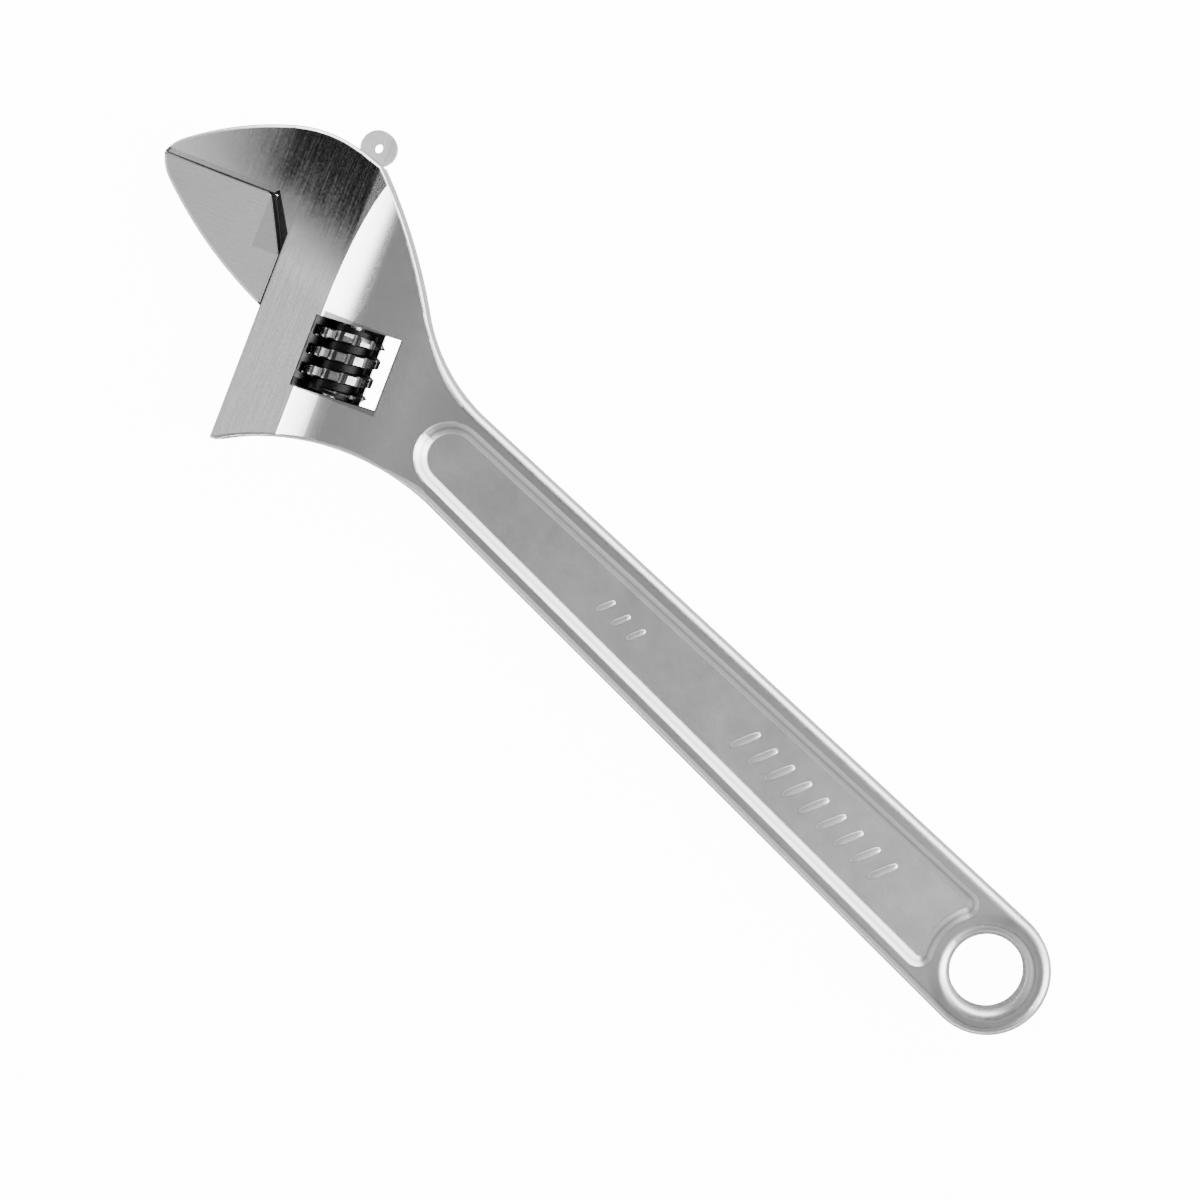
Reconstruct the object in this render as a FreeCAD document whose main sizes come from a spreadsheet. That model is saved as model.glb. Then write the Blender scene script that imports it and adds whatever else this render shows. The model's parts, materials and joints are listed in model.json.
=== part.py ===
"""Adjustable wrench, 300 mm long, jaws closed.

The wrench lies flat.  The origin is the centre of the hanging hole on the middle
plane, +X runs up the handle to the head, +Y is the side the jaw opens to, and +Z
is up.  The head is drawn in its own frame, turned by jaw_tilt about +Z: there "p"
runs from the throat to the jaw tips and "q" is the way the jaw slides.
All lengths are in millimetres.
"""

import FreeCAD, Part
import math
import os
import Sketcher

SHEET = "Dimensions"

# Driving dimensions.  A name that ends in _x, _y or _z is a place in the wrench's frame,
# and one that ends in _p or _q is a place in the head's frame.
DIMENSIONS = {
    # handle, measured from the hanging hole
    "handle_half": 5.25,
    "eye_radius": 16.0,
    "hang_hole_radius": 9.25,
    "hang_hole_round": 2.9,
    "handle_round": 2.3,
    "handle_round_to_x": 206.0,
    "head_round": 1.0,
    "seam_round": 0.25,
    "neck_near_x": 180.8,
    "neck_near_y": 12.53,
    "neck_far_x": 185.6,
    "neck_far_y": -12.89,
    # plan of the head
    "flare_radius": 61.2,
    "horn_p": 226.6,
    "horn_q": -53.8,
    "waist_radius": 45.3,
    "waist_x": 213.7,
    "waist_y": -22.03,
    "shoulder_radius": 143.0,
    "shoulder_x": 246.5,
    "shoulder_y": -40.4,
    "back_x": 252.0,
    "back_y": -39.95,
    "back_radius": 31.0,
    "brow_x": 269.24,
    "brow_y": -33.0,
    "brow_radius": 76.2,
    # head, in its own frame
    "jaw_tilt": 22.5,
    "face_q": -115.9,
    "tip_p": 264.2,
    "tip_round": 9.9,
    "cheek_turn": 21.0,
    "throat_step": 1.2,
    "throat_p": 234.8,
    "throat_q": -117.0,
    "throat_foot_q": -107.8,
    "throat_web_half": 3.0,
    "throat_web_sunk": 1.0,
    "throat_web_low_q": -102.7,
    "throat_web_high_p": 234.3,
    "throat_web_high_q": -114.9,
    "band_low": 212.9,
    "band_high": 228.0,
    "band_half": 9.25,
    "web_half": 6.5,
    "scoop_p": 203.0,
    "scoop_radius": 19.2,
    "swell_from": 172.0,
    "swell_middle": 186.0,
    "swell_to": 200.0,
    "swell_middle_half": 5.875,
    "swell_radius": 157.1,
    "side_from": -30.0,
    "side_to": 280.0,
    "side_reach": 150.0,
    # crowned face of the fixed jaw
    "crown_y": -5.0,
    "crown_far_y": -60.0,
    "crown_far_z": 4.52,
    "crown_radius": 320.0,
    "crown_taper_x": 249.2,
    "crown_taper_radius": 264.0,
    "crown_back_x": 200.0,
    "crown_top_z": 20.0,
    "crown_sweep": 12.0,
    # sunk panel of the handle
    "panel_depth": 1.8,
    "panel_outer_end": 11.9,
    "panel_outer_neck": 8.9,
    "panel_wall": 2.7,
    "panel_over": 0.6,
    "panel_end_x": 14.9,
    "panel_round": 0.8,
    "panel_end_radius": 14.2,
    "panel_corner": 3.6,
    "panel_neck_x": 184.5,
    # window, worm, pin and spring
    "window_top_p": 214.1,
    "window_low_p": 192.4,
    "window_near_q": -73.2,
    "window_near_low_q": -74.4,
    "window_far_q": -91.9,
    "window_far_low_q": -93.3,
    "worm_p": 204.6,
    "worm_from_q": -90.6,
    "worm_length": 15.4,
    "worm_radius": 8.8,
    "worm_root": 6.0,
    "worm_pitch": 5.0,
    "worm_turns_each_way": 3,
    "worm_bore": 2.32,
    "thread_inside": 5.7,
    "thread_outside": 9.1,
    "thread_foot_half": 1.65,
    "thread_crest_half": 0.95,
    "worm_flutes": 12,
    "worm_flute_radius": 1.1,
    "worm_flute_centre": 8.5,
    "worm_end_bevel": 1.1,
    "worm_near_collar": 0.95,
    "worm_far_collar": 1.25,
    "spring_pocket_radius": 3.7,
    "spring_pocket_depth": 5.0,
    "spring_mean_radius": 3.0,
    "spring_wire": 0.4,
    "spring_turns": 5.0,
    "spring_from_q": -91.85,
    "spring_length": 5.7,
    "pin_radius": 2.24,
    "pin_hole_radius": 2.25,
    "pin_head_q": -62.9,
    "pin_end_q": -98.4,
    "pin_slot_half": 0.45,
    "pin_slot_depth": 1.1,
    # rack bar and its channel
    "channel_p": 217.4,
    "channel_radius": 6.45,
    "channel_end_q": -123.6,
    "rack_radius": 6.36,
    "rack_from_q": -122.6,
    "rack_length": 47.2,
    "rack_gap_mouth": 1.85,
    "rack_gap_floor": 1.25,
    "rack_gap_floor_p": 213.8,
    "rack_gap_mouth_p": 210.5,
    "rack_slots": 10,
    "slot_half": 2.75,
    "slot_end_q": -103.4,
    "neck_half": 2.65,
    "neck_from_q": -102.6,
    "neck_length": 13.9,
    "neck_sunk": 0.8,
    # movable jaw
    "jaw_foot_p": 228.15,
    "jaw_face_q": -115.85,
    "jaw_inner_p": 234.8,
    "jaw_inner_q": -114.8,
    "jaw_heel_q": -102.2,
    "jaw_toe_q": -88.8,
    "jaw_curve_radius": 111.8,
    "jaw_cheek_p": 261.2,
    "jaw_cheek_q": -110.35,
    "jaw_tip_round": 12.3,
    "jaw_root_half": 9.1,
    "jaw_end_p": 268.0,
    "jaw_end_half": 6.2,
    "jaw_round": 0.8,
    # small lug with an eye
    "lug_x": 250.8,
    "lug_y": -43.0,
    "lug_radius": 4.5,
    "lug_eye": 1.2,
    "lug_half": 2.6,
    # how far tools run past what they cut
    "cut_reach": 20.0,
    "past_horn_q": 0.0,
}

UPRIGHT = 0.01
TOUCH = 0.001
EDGE_SAMPLES = 4
Z_AXIS = FreeCAD.Vector(0, 0, 1)


def make_sheet(doc):
    """Writes the driving dimensions into a spreadsheet, one aliased cell each."""
    sheet = doc.addObject("Spreadsheet::Sheet", SHEET)
    for row, (name, value) in enumerate(DIMENSIONS.items(), start=1):
        sheet.set("A%d" % row, name)
        sheet.set("B%d" % row, str(value))
        sheet.setAlias("B%d" % row, name)
    doc.recompute()


def number(name):
    """The value of a cell; a leading minus sign gives its negative."""
    if name.startswith("-"):
        return -DIMENSIONS[name[1:]]
    return DIMENSIONS[name]


def cell(name):
    """The expression text that reads a cell; a leading minus sign is kept."""
    if name.startswith("-"):
        return "-%s.%s" % (SHEET, name[1:])
    return "%s.%s" % (SHEET, name)


def from_head(p, q):
    """The plan point of a place in the head's own frame."""
    tilt = math.radians(number("jaw_tilt"))
    x = p * math.cos(tilt) - q * math.sin(tilt)
    y = p * math.sin(tilt) + q * math.cos(tilt)
    return FreeCAD.Vector(x, y, 0)


def in_head_frame(obj):
    """Turns an object from the head's own frame into the wrench's."""
    turn = FreeCAD.Rotation(Z_AXIS, number("jaw_tilt"))
    obj.Placement = FreeCAD.Placement(FreeCAD.Vector(), turn)
    obj.setExpression("Placement.Rotation.Angle", cell("jaw_tilt"))
    return obj


def new_body(doc, name):
    """An empty PartDesign body."""
    body = doc.addObject("PartDesign::Body", name)
    body.Label = name
    return body


def origin_feature(body, role):
    """The origin plane or axis of a body that has this role."""
    return [feature for feature in body.Origin.OriginFeatures if feature.Role == role][0]


def new_sketch(body, name, role):
    """A sketch attached to one of the body's own origin planes."""
    sketch = body.newObject("Sketcher::SketchObject", name)
    sketch.AttachmentSupport = [(origin_feature(body, role), "")]
    sketch.MapMode = "FlatFace"
    return sketch


def arc_through(a, b, radius):
    """Arc from a to b; a positive radius turns left on the way, a negative one right."""
    chord = b - a
    half = chord.Length / 2
    sagitta = abs(radius) - math.sqrt(radius * radius - half * half)
    right = FreeCAD.Vector(chord.y, -chord.x, 0).normalize()
    middle = (a + b) * 0.5 + right * (sagitta if radius > 0 else -sagitta)
    return Part.Arc(a, middle, b)


def place(sketch, kind, edge, end, name):
    """Holds one coordinate of an edge's end at the value of a cell."""
    held = sketch.addConstraint(Sketcher.Constraint(kind, -1, 1, edge, end, number(name)))
    sketch.setExpression("Constraints[%d]" % held, cell(name))


def outline(sketch, corners):
    """Draws a closed outline from corners, each with the edge that leaves it.

    A corner is (point, radius) or (x cell, y cell, radius).  The radius is a cell or
    a number for an arc, with a minus sign where the arc turns right, and None for a
    straight edge.  What is given by a cell is bound to it.
    """
    bound = [len(corner) == 3 for corner in corners]
    points = [
        FreeCAD.Vector(number(corner[0]), number(corner[1]), 0) if by_cell else corner[0]
        for corner, by_cell in zip(corners, bound)
    ]
    ends = []
    for index, corner in enumerate(corners):
        a = points[index]
        b = points[(index + 1) % len(points)]
        radius = corner[-1]
        if radius is None:
            edge = sketch.addGeometry(Part.LineSegment(a, b), False)
            ends.append((edge, 1, 2))
            continue
        turn = number(radius) if isinstance(radius, str) else radius
        edge = sketch.addGeometry(arc_through(a, b, turn), False)
        ends.append((edge, 1, 2) if turn > 0 else (edge, 2, 1))
    for index, (edge, _, last) in enumerate(ends):
        after, first, _ = ends[(index + 1) % len(ends)]
        sketch.addConstraint(Sketcher.Constraint("Coincident", edge, last, after, first))
    for corner, by_cell, (edge, first, _) in zip(corners, bound, ends):
        if by_cell:
            place(sketch, "DistanceX", edge, first, corner[0])
            place(sketch, "DistanceY", edge, first, corner[1])
        if isinstance(corner[-1], str):
            radius = corner[-1].lstrip("-")
            held = sketch.addConstraint(Sketcher.Constraint("Radius", edge, number(radius)))
            sketch.setExpression("Constraints[%d]" % held, cell(radius))


def pad(body, sketch, name, half):
    """Pads a sketch by the same amount, a cell or a number, on both sides of its plane."""
    feature = body.newObject("PartDesign::Pad", name)
    feature.Profile = sketch
    feature.Midplane = True
    if isinstance(half, str):
        feature.Length = 2 * number(half)
        feature.setExpression("Length", "2 * " + cell(half))
    else:
        feature.Length = 2 * half
    sketch.Visibility = False
    return feature


def cylinder(doc, name, radius, start, length, direction):
    """A cylinder that runs from start along direction; its radius is a cell."""
    solid = doc.addObject("Part::Cylinder", name)
    solid.Radius = number(radius)
    solid.setExpression("Radius", cell(radius))
    solid.Height = length
    solid.Placement = FreeCAD.Placement(start, FreeCAD.Rotation(Z_AXIS, direction))
    return solid


def head_cylinder(doc, name, radius, p, from_q, to_q):
    """A cylinder along q in the head frame, between two places."""
    start = from_head(p, from_q)
    direction = from_head(p, to_q) - start
    return cylinder(doc, name, radius, start, direction.Length, direction)


def head_box(doc, name, p_range, q_range, half_z):
    """A box square to the head frame."""
    solid = doc.addObject("Part::Box", name)
    solid.Length = p_range[1] - p_range[0]
    solid.Width = q_range[1] - q_range[0]
    solid.Height = 2 * half_z
    corner = from_head(p_range[0], q_range[0])
    corner.z = -half_z
    solid.Placement = FreeCAD.Placement(corner, FreeCAD.Rotation(Z_AXIS, number("jaw_tilt")))
    return solid


def boolean(doc, kind, name, base, tool):
    """Part::Cut or Part::Fuse of two objects."""
    result = doc.addObject("Part::" + kind, name)
    result.Base = base
    result.Tool = tool
    return result


def several(doc, kind, name, shapes):
    """Part::MultiFuse or Part::MultiCommon of several objects."""
    result = doc.addObject("Part::" + kind, name)
    result.Shapes = shapes
    return result


def arc_centre(a, b, radius):
    """Centre of the arc from a to b that turns left with this radius."""
    chord = b - a
    half = chord.Length / 2
    left = FreeCAD.Vector(-chord.y, chord.x, 0).normalize()
    return (a + b) * 0.5 + left * math.sqrt(radius * radius - half * half)


def plan_blank(doc):
    """The forging's outline seen from above, as thick as the head."""
    near = FreeCAD.Vector(number("neck_near_x"), number("neck_near_y"), 0)
    lean = (number("eye_radius") - near.y) / near.x
    eye_x = number("eye_radius") * lean
    eye_y = number("eye_radius") * math.sqrt(1 - lean * lean)
    back = FreeCAD.Vector(number("back_x"), number("back_y"), 0)
    brow = FreeCAD.Vector(number("brow_x"), number("brow_y"), 0)
    back_centre = arc_centre(back, brow, number("back_radius"))
    spread = number("brow_radius") - number("back_radius")
    brow_centre = back_centre + (back_centre - brow).normalize() * spread
    tip = from_head(number("tip_p"), number("face_q"))
    cheek_turn = FreeCAD.Rotation(Z_AXIS, number("cheek_turn"))
    cheek = brow_centre + cheek_turn.multVec(brow - brow_centre)
    horn = from_head(number("horn_p"), number("horn_q"))
    body = new_body(doc, "plan_blank")
    sketch = new_sketch(body, "plan_outline", "XY_Plane")
    outline(
        sketch,
        [
            (FreeCAD.Vector(eye_x, eye_y, 0), "eye_radius"),
            (FreeCAD.Vector(-number("eye_radius"), 0, 0), "eye_radius"),
            (FreeCAD.Vector(eye_x, -eye_y, 0), None),
            ("neck_far_x", "neck_far_y", "-waist_radius"),
            ("waist_x", "waist_y", "shoulder_radius"),
            ("shoulder_x", "shoulder_y", None),
            ("back_x", "back_y", "back_radius"),
            ("brow_x", "brow_y", "brow_radius"),
            (cheek, "tip_round"),
            (tip, None),
            (from_head(number("throat_p"), number("face_q")), None),
            (from_head(number("throat_p") - number("throat_step"), number("throat_q")), None),
            (from_head(number("band_high"), number("throat_foot_q")), None),
            (from_head(number("band_high"), number("horn_q")), None),
            (horn, "-flare_radius"),
            ("neck_near_x", "neck_near_y", None),
        ],
    )
    pad(body, sketch, "plan_pad", "band_half")
    return body


def side_blank(doc):
    """The forging's outline seen along q: handle, swelling web, scoop and thick head."""
    body = in_head_frame(new_body(doc, "side_blank"))
    sketch = new_sketch(body, "side_outline", "XZ_Plane")
    outline(
        sketch,
        [
            ("side_from", "-handle_half", None),
            ("swell_from", "-handle_half", "-swell_radius"),
            ("swell_middle", "-swell_middle_half", "swell_radius"),
            ("swell_to", "-web_half", None),
            ("scoop_p", "-web_half", "-scoop_radius"),
            ("band_low", "-band_half", None),
            ("side_to", "-band_half", None),
            ("side_to", "band_half", None),
            ("band_low", "band_half", "-scoop_radius"),
            ("scoop_p", "web_half", None),
            ("swell_to", "web_half", "swell_radius"),
            ("swell_middle", "swell_middle_half", "-swell_radius"),
            ("swell_from", "handle_half", None),
            ("side_from", "handle_half", None),
        ],
    )
    pad(body, sketch, "side_pad", "side_reach")
    return body


def crown_cutter(doc):
    """What is ground off one side of the fixed jaw to crown its face.

    The arc falls away towards the jaw's back.  It runs straight along the handle's
    direction up to crown_taper_x and from there turns down towards the tip.
    """
    body = new_body(doc, "crown_cutter")
    sketch = new_sketch(body, "crown_outline", "YZ_Plane")
    sketch.AttachmentOffset = FreeCAD.Placement(
        FreeCAD.Vector(0, 0, number("crown_taper_x")), FreeCAD.Rotation()
    )
    sketch.setExpression("AttachmentOffset.Base.z", cell("crown_taper_x"))
    outline(
        sketch,
        [
            ("crown_far_y", "crown_far_z", "-crown_radius"),
            ("crown_y", "band_half", None),
            ("crown_y", "crown_top_z", None),
            ("crown_far_y", "crown_top_z", None),
        ],
    )
    axis_z = number("band_half") - number("crown_taper_radius")
    axis_from = FreeCAD.Vector(number("crown_y"), axis_z, 0)
    axis_to = FreeCAD.Vector(number("crown_far_y"), axis_z, 0)
    sketch.addGeometry(Part.LineSegment(axis_from, axis_to), True)
    straight = body.newObject("PartDesign::Pad", "crown_straight")
    straight.Profile = sketch
    straight.Reversed = True
    straight.Length = number("crown_taper_x") - number("crown_back_x")
    turned = body.newObject("PartDesign::Revolution", "crown_turned")
    turned.Profile = sketch
    turned.ReferenceAxis = (sketch, ["Axis0"])
    turned.Reversed = True
    turned.Angle = number("crown_sweep")
    turned.setExpression("Angle", cell("crown_sweep"))
    return body


def panel_outline(sketch, grow):
    """The sunk panel's outline, grown by an amount (or shrunk, when it is negative).

    Its end beside the hanging hole is hollow, round the hole, with rounded corners,
    and its neck end is a half circle.
    """
    hollow = number("panel_end_radius") - grow
    corner = number("panel_corner") + grow
    corner_y = number("panel_outer_end") - number("panel_corner")
    corner_reach = number("panel_end_radius") + number("panel_corner")
    centre = FreeCAD.Vector(math.sqrt(corner_reach**2 - corner_y**2), corner_y, 0)
    side = FreeCAD.Vector(centre.x, centre.y + corner, 0)
    inner = centre * (hollow / centre.Length)
    neck = FreeCAD.Vector(number("panel_neck_x"), number("panel_outer_neck") + grow, 0)
    nose = FreeCAD.Vector(neck.x + neck.y, 0, 0)

    def below(point):
        return FreeCAD.Vector(point.x, -point.y, 0)

    outline(
        sketch,
        [
            (below(inner), corner),
            (below(side), None),
            (below(neck), neck.y),
            (nose, neck.y),
            (neck, None),
            (side, corner),
            (inner, -hollow),
        ],
    )


def panel_cutter(doc, name):
    """The sunk panel as a solid with sloping walls, a little proud of the handle."""
    body = new_body(doc, name)
    slope = number("panel_wall") / number("panel_depth")
    heights = (number("panel_over"), -number("panel_depth"))
    sketches = []
    for index, height in enumerate(heights):
        sketch = new_sketch(body, "%s_outline_%d" % (name, index), "XY_Plane")
        place_at = FreeCAD.Vector(0, 0, number("handle_half") + height)
        sketch.AttachmentOffset = FreeCAD.Placement(place_at, FreeCAD.Rotation())
        panel_outline(sketch, height * slope)
        sketches.append(sketch)
    loft = body.newObject("PartDesign::AdditiveLoft", name + "_loft")
    loft.Profile = sketches[0]
    loft.Sections = [sketches[1]]
    loft.Ruled = True
    return body


def window_cutter(doc):
    """The window that the worm stands in, a little narrower at its top."""
    body = in_head_frame(new_body(doc, "window_cutter"))
    sketch = new_sketch(body, "window_outline", "XY_Plane")
    outline(
        sketch,
        [
            ("window_low_p", "window_far_low_q", None),
            ("window_top_p", "window_far_q", None),
            ("window_top_p", "window_near_q", None),
            ("window_low_p", "window_near_low_q", None),
        ],
    )
    pad(body, sketch, "window_pad", "cut_reach")
    return body


def mirrored(doc, name, source):
    """The same tool for the underside."""
    result = doc.addObject("Part::Mirroring", name)
    result.Source = source
    result.Normal = Z_AXIS
    return result


def wall_edges(shape):
    """Numbers of the long edges where an upright wall meets the front or the back."""
    numbers = {}
    for index, edge in enumerate(shape.Edges, start=1):
        numbers[edge.hashCode()] = index
    found = set()
    for face in shape.Faces:
        u0, u1, v0, v1 = face.ParameterRange
        if abs(face.normalAt((u0 + u1) / 2, (v0 + v1) / 2).z) > UPRIGHT:
            continue
        for edge in face.Edges:
            box = edge.BoundBox
            if box.ZMin * box.ZMax > 0 and box.ZLength < number("handle_half"):
                found.add(numbers[edge.hashCode()])
    return sorted(found)


def head_span(edge):
    """Least and greatest p, then least and greatest q, over samples of an edge."""
    first, last = edge.ParameterRange
    share = (last - first) / EDGE_SAMPLES
    points = [edge.valueAt(first + share * step) for step in range(EDGE_SAMPLES + 1)]
    tilt = math.radians(number("jaw_tilt"))
    along_p = [point.x * math.cos(tilt) + point.y * math.sin(tilt) for point in points]
    along_q = [point.y * math.cos(tilt) - point.x * math.sin(tilt) for point in points]
    return min(along_p), max(along_p), min(along_q), max(along_q)


def is_fixed_seam(edge):
    """True for the forging's edges that face the sliding jaw, which stay nearly sharp."""
    least_p, _, least_q, _ = head_span(edge)
    return least_p > number("band_high") - TOUCH and least_q > number("throat_q") - TOUCH


def is_sliding_seam(edge):
    """True for the sliding jaw's edges that face the forging, which stay nearly sharp."""
    _, most_p, _, most_q = head_span(edge)
    return most_p < number("jaw_inner_p") + TOUCH or most_q < number("jaw_inner_q") + TOUCH


def forging(doc):
    """Crowned and rounded solid of handle and head, before anything is cut in it."""
    blank = several(doc, "MultiCommon", "blank", [plan_blank(doc), side_blank(doc)])
    crown = crown_cutter(doc)
    front = boolean(doc, "Cut", "crowned_front", blank, crown)
    both = boolean(doc, "Cut", "crowned", front, mirrored(doc, "crown_under", crown))
    doc.recompute()
    edges = both.Shape.Edges
    radii = []
    for index in wall_edges(both.Shape):
        edge = edges[index - 1]
        if is_fixed_seam(edge):
            radius = number("seam_round")
        elif edge.BoundBox.XMax < number("handle_round_to_x"):
            radius = number("handle_round")
        else:
            radius = number("head_round")
        radii.append((index, radius, radius))
    result = doc.addObject("Part::Fillet", "rounded_forging")
    result.Base = both
    result.Edges = radii
    return result


def lug(doc):
    """A small flat lug behind the fixed jaw."""
    start = FreeCAD.Vector(number("lug_x"), number("lug_y"), -number("lug_half"))
    return cylinder(doc, "lug", "lug_radius", start, 2 * number("lug_half"), Z_AXIS)


def throat_web(doc):
    """Web in the middle plane that closes the throat's relief behind the sliding jaw."""
    body = in_head_frame(new_body(doc, "throat_web"))
    sketch = new_sketch(body, "throat_web_outline", "XY_Plane")
    sunk = number("throat_web_sunk")
    low = number("band_high") - sunk
    outline(
        sketch,
        [
            (FreeCAD.Vector(low, number("throat_web_low_q"), 0), None),
            (FreeCAD.Vector(low, number("throat_q") - sunk, 0), None),
            (FreeCAD.Vector(number("throat_web_high_p"), number("throat_q") - sunk, 0), None),
            ("throat_web_high_p", "throat_web_high_q", None),
            ("band_high", "throat_web_low_q", None),
        ],
    )
    pad(body, sketch, "throat_web_pad", "throat_web_half")
    return body


def wrench_body(doc):
    """The forging with its hanging hole, panels, window, channel, slot and pin hole."""
    reach = number("cut_reach")
    through = 2 * reach
    low = FreeCAD.Vector(0, 0, -reach)
    eye = FreeCAD.Vector(number("lug_x"), number("lug_y"), -reach)
    panel = panel_cutter(doc, "panel_cutter")
    past_horn = number("past_horn_q")
    channel_p = number("channel_p")
    channel_end = number("channel_end_q")
    slot_p = (channel_p, number("band_high") + reach)
    slot_q = (number("slot_end_q"), past_horn)
    worm_p = number("worm_p")
    pin_end = number("pin_end_q")
    tools = [
        cylinder(doc, "hang_hole", "hang_hole_radius", low, through, Z_AXIS),
        cylinder(doc, "lug_eye", "lug_eye", eye, through, Z_AXIS),
        panel,
        mirrored(doc, "panel_under", panel),
        window_cutter(doc),
        head_cylinder(doc, "channel", "channel_radius", channel_p, channel_end, past_horn),
        head_box(doc, "slot", slot_p, slot_q, number("slot_half")),
        head_cylinder(doc, "pin_hole", "pin_hole_radius", worm_p, pin_end, past_horn),
    ]
    whole = several(doc, "MultiFuse", "whole_forging", [forging(doc), throat_web(doc), lug(doc)])
    cut = boolean(doc, "Cut", "wrench_cut", whole, several(doc, "MultiFuse", "hollows", tools))
    doc.recompute()
    radii = []
    for index, edge in enumerate(cut.Shape.Edges, start=1):
        if is_hang_rim(edge):
            radii.append((index, number("hang_hole_round"), number("hang_hole_round")))
        elif is_panel_edge(edge):
            radii.append((index, number("panel_round"), number("panel_round")))
    result = doc.addObject("Part::Fillet", "wrench_body")
    result.Base = cut
    result.Edges = radii
    return result


def is_hang_rim(edge):
    """True for the two circles where the hanging hole meets the faces."""
    curve = edge.Curve
    if not isinstance(curve, Part.Circle):
        return False
    centred = math.hypot(curve.Center.x, curve.Center.y) < TOUCH
    return centred and abs(curve.Radius - number("hang_hole_radius")) < TOUCH


def is_panel_edge(edge):
    """True for the edges round the floor and round the mouth of a sunk panel."""
    low, high = sorted((abs(edge.BoundBox.ZMin), abs(edge.BoundBox.ZMax)))
    on_floor = high < number("handle_half") - number("panel_depth") + TOUCH
    at_mouth = low > number("handle_half") - TOUCH
    on_one_side = edge.BoundBox.ZMin * edge.BoundBox.ZMax > 0
    if not on_one_side or not (on_floor or at_mouth):
        return False
    first, last = edge.ParameterRange
    share = (last - first) / EDGE_SAMPLES
    points = [edge.valueAt(first + share * step) for step in range(EDGE_SAMPLES + 1)]
    return all(is_over_panel(point) for point in points)


def is_over_panel(point):
    """True where a point lies inside the panel's mouth in plan."""
    length = number("panel_neck_x") - number("panel_end_x")
    narrowing = number("panel_outer_end") - number("panel_outer_neck")
    half = number("panel_outer_end") - narrowing * (point.x - number("panel_end_x")) / length
    nose_x = number("panel_neck_x") + number("panel_outer_neck") + 2 * number("panel_round")
    from_hole = math.hypot(point.x, point.y)
    beside_hole = from_hole < number("panel_end_radius") - number("panel_over") - TOUCH
    return abs(point.y) <= half + number("panel_over") and point.x <= nose_x and not beside_hole


def rack(doc):
    """Round bar that slides in the channel, with slots cut across it for the worm.

    The slots lean by the worm's lead angle, and the second one lies where the middle
    of the worm's thread passes closest to the bar.
    """
    body = in_head_frame(new_body(doc, "rack"))
    bar = new_sketch(body, "rack_circle", "XZ_Plane")
    centre = FreeCAD.Vector(number("channel_p"), 0, 0)
    edge = bar.addGeometry(Part.Circle(centre, Z_AXIS, number("rack_radius")), False)
    held = bar.addConstraint(Sketcher.Constraint("Radius", edge, number("rack_radius")))
    bar.setExpression("Constraints[%d]" % held, cell("rack_radius"))
    middle = number("rack_from_q") + number("rack_length") / 2
    bar.AttachmentOffset = FreeCAD.Placement(FreeCAD.Vector(0, 0, -middle), FreeCAD.Rotation())
    pad(body, bar, "rack_pad", number("rack_length") / 2)
    slot = new_sketch(body, "rack_slot_outline", "XY_Plane")
    meshing_radius = number("rack_gap_floor_p") - number("worm_p")
    lead = math.degrees(math.atan(number("worm_pitch") / (2 * math.pi * meshing_radius)))
    worm_middle = number("worm_from_q") + number("worm_length") / 2
    first = FreeCAD.Vector(0, worm_middle + number("worm_pitch"), 0)
    lean = FreeCAD.Rotation(FreeCAD.Vector(1, 0, 0), lead)
    slot.AttachmentOffset = FreeCAD.Placement(first, lean)
    outline(
        slot,
        [
            ("rack_gap_mouth_p", "-rack_gap_mouth", None),
            ("rack_gap_floor_p", "-rack_gap_floor", None),
            ("rack_gap_floor_p", "rack_gap_floor", None),
            ("rack_gap_mouth_p", "rack_gap_mouth", None),
        ],
    )
    doc.recompute()
    cut = body.newObject("PartDesign::Pocket", "rack_slot")
    cut.Profile = slot
    cut.Midplane = True
    cut.Length = 2 * number("cut_reach")
    pattern = body.newObject("PartDesign::LinearPattern", "rack_slots")
    pattern.Originals = [cut]
    pattern.Direction = (origin_feature(body, "Y_Axis"), [""])
    pattern.Reversed = True
    pattern.Occurrences = int(number("rack_slots"))
    pattern.Length = (number("rack_slots") - 1) * number("worm_pitch")
    body.Tip = pattern
    return body


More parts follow.
